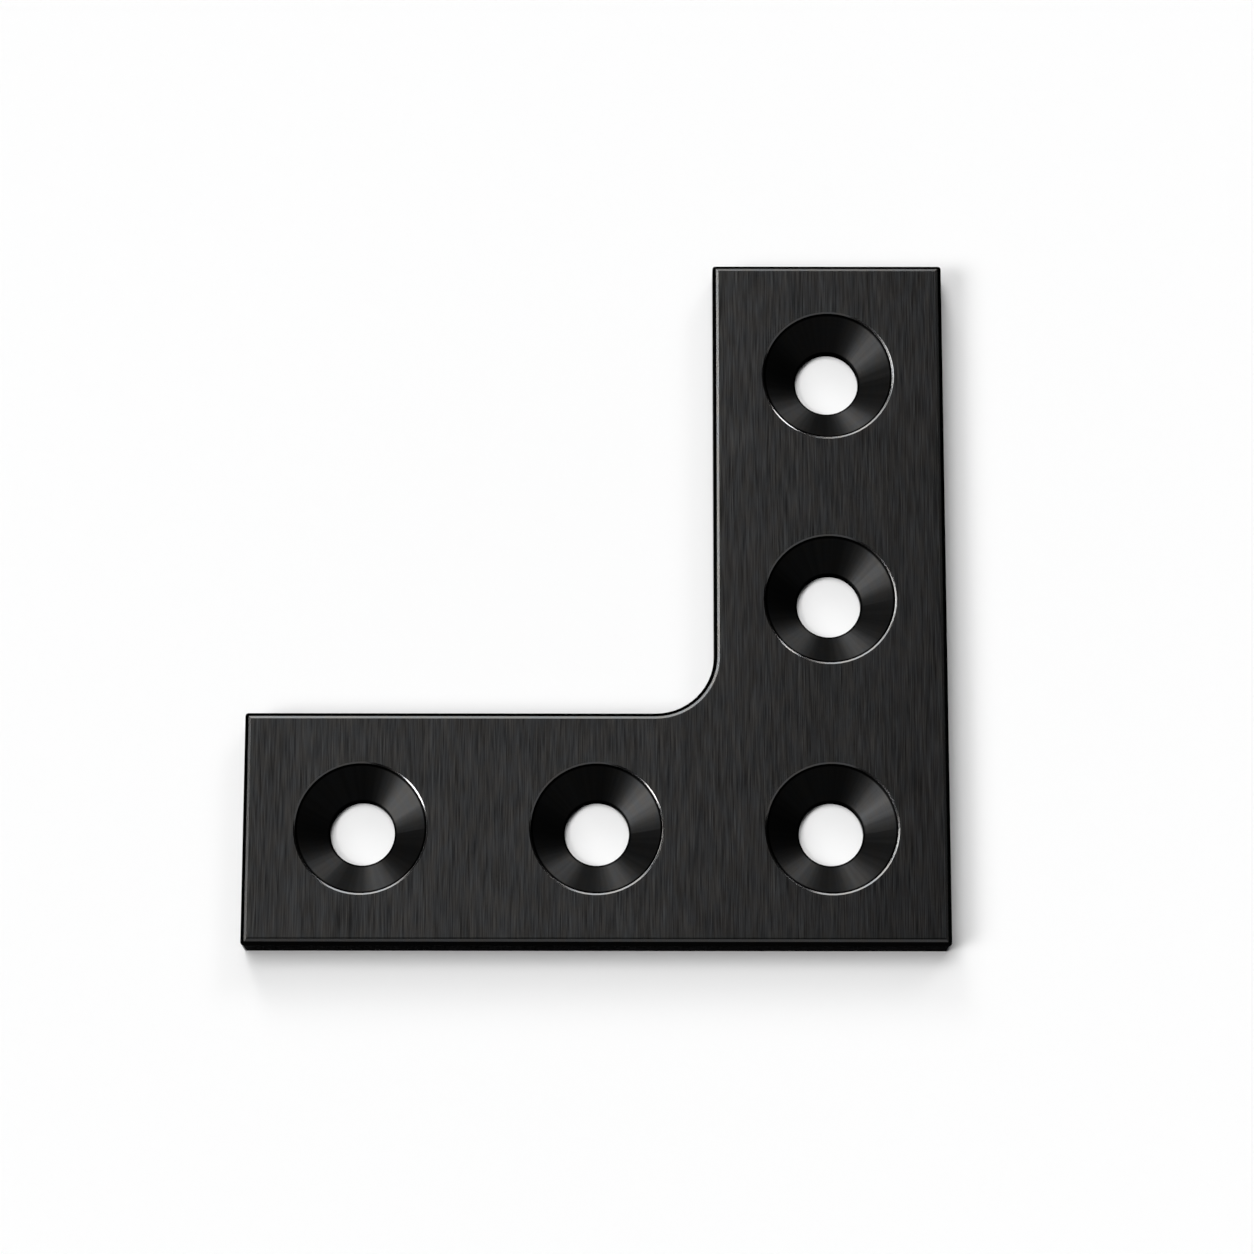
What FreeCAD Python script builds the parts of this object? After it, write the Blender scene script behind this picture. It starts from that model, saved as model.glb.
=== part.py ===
import FreeCAD, Part
import math
import os

# L-shaped joining plate: one flat piece with two equal legs at right angles and a row of countersunk
# screw holes along each leg. The two rows share the hole at the corner.
# Sizes are in millimetres. The origin is on the axis of the corner hole, in the plane of the underside,
# which lies on the profiles. +Z leaves through the countersunk face, one leg runs along -X and the other
# along +Y.

Vector = FreeCAD.Vector

# Legs
leg_width = 20.0  # the width of the profile that a leg covers
thickness = 3.5
inner_radius = 5.0  # fillet between the two legs, seen in plan
corner_radius = 0.3  # the five outer corners, seen in plan

# Hole rows, one down the middle of each leg
holes_per_leg = 3  # the corner hole counts for both legs
hole_pitch = 20.0
end_margin = 10.0  # from the last hole of a row to the end of its leg

# Screw holes
bore_diameter = 5.5
mouth_diameter = 11.3  # where the cone would meet the top face
cone_angle = 90.0  # from side to side, in degrees
rim_break = 0.08  # small flat around the mouth, measured along the top face and along the cone

# Edges
edge_chamfer = 0.4  # around the top face, at 45 degrees
chamfer_break = 0.12  # small flat between chamfer and top face, measured along each
underside_break = 0.2  # around the underside, at 45 degrees

# What follows from the sizes above
side_margin = leg_width / 2
leg_length = side_margin + (holes_per_leg - 1) * hole_pitch + end_margin
right = side_margin
front = -side_margin
left = right - leg_length
back = front + leg_length
inner_corner = (right - leg_width, front + leg_width)
end_corners = [(right, front), (right, back), (inner_corner[0], back), (left, inner_corner[1]), (left, front)]

# Numbers that only help to build the solids
past_face = 1.0  # how far a cutting tool reaches past the face that it leaves through
same_place = 1e-6  # two points closer than this are one point


def flat_edges(solid, height):
    """The edges of a solid that lie in one level plane."""
    return [edge for edge in solid.Edges if all(abs(end.Z - height) < same_place for end in edge.Vertexes)]


def upright_edges(solid, corners):
    """The edges of a solid that stand over the given corners of its plan."""

    def stands_over(edge, corner):
        return all(math.hypot(end.X - corner[0], end.Y - corner[1]) < same_place for end in edge.Vertexes)

    return [edge for edge in solid.Edges if any(stands_over(edge, corner) for corner in corners)]


def blank():
    """The L in its full thickness, filleted between the legs and sharp everywhere else."""
    plan = end_corners[:3] + [inner_corner] + end_corners[3:]
    corners = [Vector(x, y, 0) for x, y in plan]
    prism = Part.Face(Part.makePolygon(corners + corners[:1])).extrude(Vector(0, 0, thickness))
    return prism.makeFillet(inner_radius, upright_edges(prism, [inner_corner]))


def chamfered(solid):
    """Chamfers the top face's edge, softens the chamfer's upper edge and breaks the lower edge.

    The cuts follow the fillet between the legs as cones, and meet in mitres at the outer corners.
    """
    solid = solid.makeChamfer(edge_chamfer, flat_edges(solid, thickness))
    solid = solid.makeChamfer(chamfer_break, flat_edges(solid, thickness))
    return solid.makeChamfer(underside_break, flat_edges(solid, 0))


def round_cornered(solid):
    """Rounds the outer corners over the full thickness, through the mitres too."""
    sharp = blank()
    return solid.common(sharp.makeFillet(corner_radius, upright_edges(sharp, end_corners)))


def hole_tool():
    """What drill and countersink take away, on the Z axis: the bore, the cone and the flat round its mouth."""
    half_angle = math.radians(cone_angle / 2)
    bore_radius = bore_diameter / 2
    mouth_radius = mouth_diameter / 2
    cone_depth = (mouth_radius - bore_radius) / math.tan(half_angle)
    section = [
        (0, -past_face),
        (bore_radius, -past_face),
        (bore_radius, thickness - cone_depth),
        (mouth_radius - rim_break * math.sin(half_angle), thickness - rim_break * math.cos(half_angle)),
        (mouth_radius + rim_break, thickness),
        (mouth_radius + rim_break, thickness + past_face),
        (0, thickness + past_face),
    ]
    corners = [Vector(radius, 0, height) for radius, height in section]
    half_section = Part.Face(Part.makePolygon(corners + corners[:1]))
    return half_section.revolve(Vector(0, 0, 0), Vector(0, 0, 1), 360)


def hole_places():
    """The corner hole, then the others of the row along each leg."""
    steps = range(1, holes_per_leg)
    along_x = [Vector(-hole_pitch * step, 0, 0) for step in steps]
    along_y = [Vector(0, hole_pitch * step, 0) for step in steps]
    return [Vector(0, 0, 0)] + along_x + along_y


def joining_plate():
    """The whole plate: the edges first, then the holes."""
    plate = round_cornered(chamfered(blank()))
    tool = hole_tool()
    for place in hole_places():
        plate = plate.cut(tool.translated(place))
    return plate.Solids[0]


os.makedirs("parts", exist_ok=True)
joining_plate().exportStep("parts/joining_plate.step")
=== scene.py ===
import math

import bpy
from mathutils import Matrix, Vector


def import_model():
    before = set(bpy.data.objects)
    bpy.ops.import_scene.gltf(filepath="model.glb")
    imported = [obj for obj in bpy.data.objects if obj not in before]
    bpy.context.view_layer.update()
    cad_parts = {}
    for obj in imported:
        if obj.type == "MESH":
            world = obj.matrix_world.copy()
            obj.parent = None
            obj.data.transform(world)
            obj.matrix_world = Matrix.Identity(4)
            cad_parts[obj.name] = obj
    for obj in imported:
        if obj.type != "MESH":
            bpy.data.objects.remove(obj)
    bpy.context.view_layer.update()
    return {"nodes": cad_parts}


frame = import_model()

scene = bpy.context.scene
MM = 0.001

# Sizes are in millimetres, unless they say otherwise.

# Part facts. The frame's origin is on the corner hole's axis, in the plane of the underside.
THICKNESS = 3.5
HOLE_PITCH = 20.0
BORE_RADIUS = 2.75
CONE_RADIUS = 5.593  # here the cone ends and the small flat round the mouth begins
MOUTH_RADIUS = 5.73  # here the small flat ends, at the top face
FRONT_EDGE = -9.48  # Y of the top face's front edge

# Camera: the photograph's viewing angle, in degrees
VIEW_ELEVATION = 77.0
VIEW_AZIMUTH = -0.042
VIEW_ROLL = 0.106
VIEW_DISTANCE = 345.0
VIEW_LENS = 115.57
SENSOR_WIDTH = 36.0
CLIP_RANGE = (0.01, 50.0)  # in metres
AIM = (-17.439, 17.493, THICKNESS)

# Lamps, all suns: azimuth from +Y towards +X, elevation and angular size in degrees, strength in W/m2
LAMPS = {
    "lamp_left": (-109.4, 47.4, 26.1, 1.367),
    "lamp_back_low": (-19.4, 29.5, 16.8, 0.565),
    "lamp_back_right": (32.5, 35.1, 17.4, 0.397),
    "lamp_back_high": (-9.2, 56.9, 37.3, 0.538),
    "lamp_top": (-40.6, 71.2, 31.2, 1.279),
    "lamp_front_right": (132.6, 67.3, 51.5, 0.100),
}

# Surroundings: pale near the horizon, dark above. The edge between them is in sines of the elevation.
SKY_LOW = 0.985
SKY_HIGH = 0.0
SKY_EDGE = (0.105, 0.15)
SKY_STRENGTH = 1.0

# Floor
FLOOR_REACH = 30.0  # half its side, in metres
FLOOR_GREY = 0.94

# Zones of the plate, by the Z of the surface's normal: it is above LEVEL_FROM on the top face, above
# TILTED_FROM also on the small flats, and above SLOPED_FROM also on chamfers and cones.
LEVEL_FROM = 0.965
TILTED_FROM = 0.82
SLOPED_FROM = 0.5
HOLE_MARGIN = 0.03  # how far a hole's zone reaches past its mouth

# Reflectance of each zone
FACE = 0.0148  # top face and underside
CONE = 0.0181
RIM = 0.280  # small flat round a mouth
EDGE = 0.170  # small flat along the upper edge
CHAMFER = 0.004
WALL = 0.008
METAL_FACE = 0.26  # the level faces are part metal, all else is metal
SPECULAR_LEVEL = 0.15
SPECULAR_TINT = 0.0

# Roughness of each zone, and anisotropy of the level faces
ROUGH_FACE = 0.12
ROUGH_SPREAD = 0.015  # up in dark streaks and down in light ones
ROUGH_CONE = 0.298
ROUGH_RIM = 0.12
ROUGH_EDGE = 0.243
ROUGH_CHAMFER = 0.30
ROUGH_WALL = 0.10
ANISO_FACE = 0.288

# How far the grooves' sides turn upwards, as a share of +Z that is added to the surface's own direction
LEAN_CONE = 0.967
LEAN_RIM = 0.350
LEAN_EDGE = 0.435

# Brushed grain along Y: a streak's width and length, and a shift that sets this layer apart
GRAIN_FINE = (0.06, 3.0, 3.0)
GRAIN_MEDIUM = (0.20, 7.0, 11.0)
GRAIN_BROAD = (3.0, 40.0, 23.0)
GRAIN_HUE = (0.7, 1.6, 31.0)
GRAIN_DETAIL = 1.0
SHIFT_AXES = (1.0, 1.7, 0.3)
SHARE_FINE = 0.82
SHARE_MEDIUM = 0.18

# Turned cones. The shifts make the rings and rays of each hole its own.
RING_WIDTH = 0.09
RING_SHIFT = 400.0
RAY_SCALE = 11.0
RAY_SHIFT = 700.0
TURNED_DETAIL = 2.0

# The part of the noise's range that is stretched, and what it is stretched to
NOISE_RANGE = (0.3, 0.7)
HUE_RANGE = (0.35, 0.65)
STREAK_LEVELS = (0.36, 1.64)
BROAD_LEVELS = (0.94, 1.06)
RING_LEVELS = (0.94, 1.06)
RAY_LEVELS = (0.86, 1.14)
WARM_TINT = (1.03, 1.0, 0.96, 1.0)
COOL_TINT = (0.97, 1.0, 1.03, 1.0)

# Painted shade: dark lines along the front edge and at both ends of each cone; how far from its edge each
# starts and stops to change, and its level
FRONT_SHADE_LINE = (0.10, 0.18)
FRONT_SHADE_LEVEL = 0.35
MOUTH_SHADE_LINE = (0.22, 0.14)
BORE_SHADE_LINE = (0.12, 0.20)
CONE_SHADE_LEVEL = 0.08

# Bump of the grain and the rings
BUMP_STRENGTH = 0.25
BUMP_DEPTH = 0.02


def camera():
    a, e = math.radians(VIEW_AZIMUTH), math.radians(VIEW_ELEVATION)
    ahead = Vector((-math.sin(a) * math.cos(e), math.cos(a) * math.cos(e), -math.sin(e)))
    level = ahead.cross(Vector((0, 0, 1))).normalized()
    upright = level.cross(ahead)
    c, s = math.cos(math.radians(VIEW_ROLL)), math.sin(math.radians(VIEW_ROLL))
    right = level * c + upright * s
    up = upright * c - level * s
    data = bpy.data.cameras.new("camera")
    data.lens = VIEW_LENS
    data.sensor_width = SENSOR_WIDTH
    data.clip_start, data.clip_end = CLIP_RANGE
    ob = bpy.data.objects.new("camera", data)
    place = Vector(AIM) * MM - ahead * VIEW_DISTANCE * MM
    turn = Matrix((right, up, -ahead)).transposed().to_4x4()
    ob.matrix_world = Matrix.Translation(place) @ turn
    scene.collection.objects.link(ob)
    scene.camera = ob


def lamps():
    for name, (azimuth, elevation, size, strength) in LAMPS.items():
        a, e = math.radians(azimuth), math.radians(elevation)
        towards = Vector((math.sin(a) * math.cos(e), math.cos(a) * math.cos(e), math.sin(e)))
        data = bpy.data.lights.new(name, "SUN")
        data.energy = strength
        data.angle = math.radians(size)
        ob = bpy.data.objects.new(name, data)
        ob.rotation_mode = "QUATERNION"
        ob.rotation_quaternion = towards.to_track_quat("Z", "Y")
        ob.location = towards
        scene.collection.objects.link(ob)


class Graph:
    """Adds nodes to a tree and links them: an input is a socket or a plain value."""

    def __init__(self, tree):
        self.tree = tree
        tree.nodes.clear()

    def node(self, kind, **settings):
        n = self.tree.nodes.new(kind)
        for key, value in settings.items():
            setattr(n, key, value)
        return n

    def feed(self, socket, value):
        if isinstance(value, bpy.types.NodeSocket):
            self.tree.links.new(value, socket)
        else:
            socket.default_value = value

    def math(self, operation, *values):
        n = self.node("ShaderNodeMath", operation=operation)
        for socket, value in zip(n.inputs, values):
            self.feed(socket, value)
        return n.outputs[0]

    def vector(self, operation, *values):
        n = self.node("ShaderNodeVectorMath", operation=operation)
        for socket, value in zip(n.inputs, values):
            self.feed(socket, value)
        return n.outputs["Value" if operation == "LENGTH" else "Vector"]

    def split(self, vector):
        n = self.node("ShaderNodeSeparateXYZ")
        self.feed(n.inputs[0], vector)
        return n.outputs

    def join(self, x, y, z):
        n = self.node("ShaderNodeCombineXYZ")
        for socket, value in zip(n.inputs, (x, y, z)):
            self.feed(socket, value)
        return n.outputs[0]

    def noise(self, vector, detail):
        n = self.node("ShaderNodeTexNoise", noise_dimensions="3D")
        self.feed(n.inputs["Vector"], vector)
        self.feed(n.inputs["Scale"], 1.0)
        self.feed(n.inputs["Detail"], detail)
        return n.outputs[0]

    def range(self, value, low, high, to_low=0.0, to_high=1.0, smooth=False):
        kind = "SMOOTHSTEP" if smooth else "LINEAR"
        n = self.node("ShaderNodeMapRange", interpolation_type=kind, clamp=True)
        names = ("Value", "From Min", "From Max", "To Min", "To Max")
        for name, v in zip(names, (value, low, high, to_low, to_high)):
            self.feed(n.inputs[name], v)
        return n.outputs[0]

    def mix(self, factor, a, b):
        """Mixes colours. The node keeps its colour sockets behind those for numbers and vectors."""
        n = self.node("ShaderNodeMix", data_type="RGBA", clamp_factor=True)
        for index, value in ((0, factor), (6, a), (7, b)):
            self.feed(n.inputs[index], value)
        return n.outputs[2]

    def choose(self, factor, a, b):
        """Gives the number a where the factor is 0, and b where it is 1."""
        n = self.node("ShaderNodeMix", data_type="FLOAT", clamp_factor=True)
        for index, value in ((0, factor), (2, a), (3, b)):
            self.feed(n.inputs[index], value)
        return n.outputs[0]


def grey(level):
    return (level, level, level, 1.0)


def world():
    w = bpy.data.worlds.new("studio")
    scene.world = w
    w.use_nodes = True
    g = Graph(w.node_tree)
    height = g.split(g.node("ShaderNodeTexCoord").outputs["Generated"])[2]
    share = g.range(height, *SKY_EDGE, smooth=True)
    back = g.node("ShaderNodeBackground")
    g.feed(back.inputs["Color"], g.mix(share, grey(SKY_LOW), grey(SKY_HIGH)))
    back.inputs["Strength"].default_value = SKY_STRENGTH
    g.feed(g.node("ShaderNodeOutputWorld").inputs["Surface"], back.outputs[0])


def floor():
    side = FLOOR_REACH
    mesh = bpy.data.meshes.new("floor")
    corners = [(-side, -side, 0), (side, -side, 0), (side, side, 0), (-side, side, 0)]
    mesh.from_pydata(corners, [], [(0, 1, 2, 3)])
    ob = bpy.data.objects.new("floor", mesh)
    scene.collection.objects.link(ob)
    mat = bpy.data.materials.new("floor_paper")
    mat.use_nodes = True
    g = Graph(mat.node_tree)
    shader = g.node("ShaderNodeBsdfDiffuse")
    shader.inputs["Color"].default_value = grey(FLOOR_GREY)
    g.feed(g.node("ShaderNodeOutputMaterial").inputs["Surface"], shader.outputs[0])
    mesh.materials.append(mat)


def anodised():
    """Black anodised aluminium, brushed along Y on the level faces and turned in the cones."""
    mat = bpy.data.materials.new("black_anodised_brushed")
    mat.use_nodes = True
    g = Graph(mat.node_tree)
    coords = g.node("ShaderNodeTexCoord")
    at = coords.outputs["Object"]
    tilt = g.split(coords.outputs["Normal"])[2]

    # Zones, by the tilt of the surface and by the distance from the nearest hole's axis
    top = g.math("GREATER_THAN", tilt, LEVEL_FROM)
    tilted = g.math("GREATER_THAN", tilt, TILTED_FROM)
    sloped = g.math("GREATER_THAN", tilt, SLOPED_FROM)
    under = g.math("LESS_THAN", tilt, -SLOPED_FROM)
    level_face = g.math("MAXIMUM", top, under)
    half = HOLE_PITCH / 2 * MM
    wrapped = g.vector("WRAP", at, (half, half, 1.0), (-half, -half, -1.0))
    from_axis = g.split(wrapped)
    outwards = g.join(from_axis[0], from_axis[1], 0.0)
    radius = g.vector("LENGTH", outwards)
    in_hole = g.math("LESS_THAN", radius, (MOUTH_RADIUS + HOLE_MARGIN) * MM)

    def by_zone(face, rim, edge, cone, chamfer, wall):
        mouth = g.choose(tilted, cone, rim)
        border = g.choose(tilted, chamfer, edge)
        return g.choose(level_face, g.choose(sloped, wall, g.choose(in_hole, border, mouth)), face)

    def product(first, *others):
        for other in others:
            first = g.math("MULTIPLY", first, other)
        return first

    # Brushed grain, and a faint change of hue
    def grain(across, along, shift):
        scaled = g.vector("MULTIPLY", at, (1 / (across * MM), 1 / (along * MM), 1 / (across * MM)))
        return g.noise(g.vector("ADD", scaled, [shift * share for share in SHIFT_AXES]), GRAIN_DETAIL)

    fine, medium, broad, hue = (grain(*sizes) for sizes in (GRAIN_FINE, GRAIN_MEDIUM, GRAIN_BROAD, GRAIN_HUE))
    streaks = g.math("ADD", product(fine, SHARE_FINE), product(medium, SHARE_MEDIUM))
    streak_level = g.range(streaks, *NOISE_RANGE, *STREAK_LEVELS)
    broad_level = g.range(broad, *NOISE_RANGE, *BROAD_LEVELS)
    tint = g.mix(g.range(hue, *HUE_RANGE), WARM_TINT, COOL_TINT)

    # Darkens the colour in a narrow band by an edge: painted shade
    def painted_shade_line(distance, edge, line, *levels):
        low, high = ((edge + offset) * MM for offset in line)
        return g.range(distance, low, high, *levels)

    # Painted shade: a dark line runs beside the light one along the front edge
    front_shade = painted_shade_line(g.split(at)[1], FRONT_EDGE, FRONT_SHADE_LINE, FRONT_SHADE_LEVEL, 1.0)
    face_level = product(streak_level, broad_level, FACE, front_shade)

    # Turned cones: rings, faint rays, and painted shade as a dark line at either end
    def turned(place, shift):
        cell = g.vector("SUBTRACT", at, wrapped)
        own_shift = g.vector("MULTIPLY", cell, (shift, shift, 0.0))
        return g.noise(g.vector("ADD", place, own_shift), TURNED_DETAIL)

    rings = turned(g.join(product(radius, 1 / (RING_WIDTH * MM)), 0.0, 0.0), RING_SHIFT)
    rays = turned(g.vector("MULTIPLY", g.vector("NORMALIZE", outwards), [RAY_SCALE] * 3), RAY_SHIFT)
    ring_level = g.range(rings, *NOISE_RANGE, *RING_LEVELS)
    ray_level = g.range(rays, *NOISE_RANGE, *RAY_LEVELS)
    # Painted shade: the cone is darker next to its mouth and next to the bore
    mouth_shade = painted_shade_line(radius, CONE_RADIUS, [-offset for offset in MOUTH_SHADE_LINE], 1.0, CONE_SHADE_LEVEL)
    bore_shade = painted_shade_line(radius, BORE_RADIUS, BORE_SHADE_LINE, CONE_SHADE_LEVEL, 1.0)
    cone_level = product(ring_level, CONE, ray_level, mouth_shade, bore_shade)

    level = by_zone(face_level, RIM, EDGE, cone_level, CHAMFER, WALL)
    colour = g.vector("MULTIPLY", tint, g.join(level, level, level))
    rough_face = g.range(streaks, *NOISE_RANGE, ROUGH_FACE + ROUGH_SPREAD, ROUGH_FACE - ROUGH_SPREAD)
    rough = by_zone(rough_face, ROUGH_RIM, ROUGH_EDGE, ROUGH_CONE, ROUGH_CHAMFER, ROUGH_WALL)

    # The highlight is drawn out across the grain: across X on the level faces, up the slope elsewhere
    tangent = g.join(level_face, 0.0, g.math("SUBTRACT", 1.0, level_face))

    lean = by_zone(0.0, LEAN_RIM, LEAN_EDGE, LEAN_CONE, 0.0, 0.0)
    own = g.node("ShaderNodeNewGeometry").outputs["Normal"]
    facing = g.vector("NORMALIZE", g.vector("ADD", own, g.join(0.0, 0.0, lean)))
    bump = g.node("ShaderNodeBump")
    bump.inputs["Strength"].default_value = BUMP_STRENGTH
    bump.inputs["Distance"].default_value = BUMP_DEPTH * MM
    g.feed(bump.inputs["Height"], g.choose(level_face, rings, streaks))
    g.feed(bump.inputs["Normal"], facing)

    shader = g.node("ShaderNodeBsdfPrincipled")
    g.feed(shader.inputs["Metallic"], g.choose(level_face, 1.0, METAL_FACE))
    shader.inputs["Specular IOR Level"].default_value = SPECULAR_LEVEL
    shader.inputs["Specular Tint"].default_value = grey(SPECULAR_TINT)
    g.feed(shader.inputs["Base Color"], colour)
    g.feed(shader.inputs["Roughness"], rough)
    g.feed(shader.inputs["Anisotropic"], g.choose(level_face, 0.0, ANISO_FACE))
    g.feed(shader.inputs["Tangent"], tangent)
    g.feed(shader.inputs["Normal"], bump.outputs[0])
    g.feed(g.node("ShaderNodeOutputMaterial").inputs["Surface"], shader.outputs[0])
    return mat


camera()
lamps()
world()
floor()
plate = frame["nodes"]["joining_plate"]
plate.material_slots[0].material = anodised()

scene.view_settings.view_transform = "Standard"
